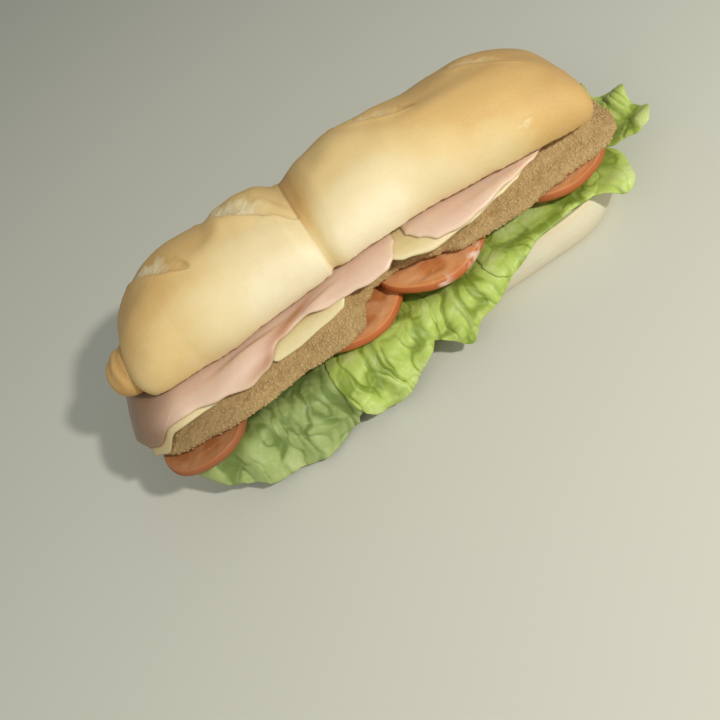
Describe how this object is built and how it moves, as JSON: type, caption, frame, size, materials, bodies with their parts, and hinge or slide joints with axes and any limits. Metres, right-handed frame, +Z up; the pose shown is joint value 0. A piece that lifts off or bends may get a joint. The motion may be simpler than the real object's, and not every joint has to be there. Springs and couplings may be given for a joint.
{
  "type": "filled long roll sandwich",
  "caption": "Long soft roll with a slashed, lobed crust, filled with lettuce, tomato, a breaded cutlet, cheese and ham that hang out on one side.",
  "frame": {"origin": "on the flat underside of the lower half of the loaf, below its middle", "axes": "+X along the loaf, towards the end where a leaf sticks out; -Y out of the open side, where the fillings show; +Z up"},
  "size_m": [0.2749, 0.1103, 0.0884],
  "materials": {
    "crust": "satin",
    "lettuce": "satin",
    "tomato": "gloss",
    "breading": "matte",
    "cheese": "satin",
    "ham": "satin"
  },
  "bodies": {
    "root": {"bun_bottom": "crust", "bun_top": "crust", "lettuce_near_left": "lettuce", "lettuce_near_middle": "lettuce", "lettuce_near_fold": "lettuce", "lettuce_near_strip": "lettuce", "lettuce_near_right": "lettuce", "lettuce_end": "lettuce", "lettuce_far_left": "lettuce", "lettuce_far_middle": "lettuce", "lettuce_far_right": "lettuce", "tomato_left": "tomato", "tomato_middle": "tomato", "tomato_overlap": "tomato", "tomato_right": "tomato", "cutlet": "breading", "cheese_left": "cheese", "cheese_middle": "cheese", "cheese_right": "cheese", "ham_left": "ham", "ham_right": "ham"}
  },
  "joints": []
}
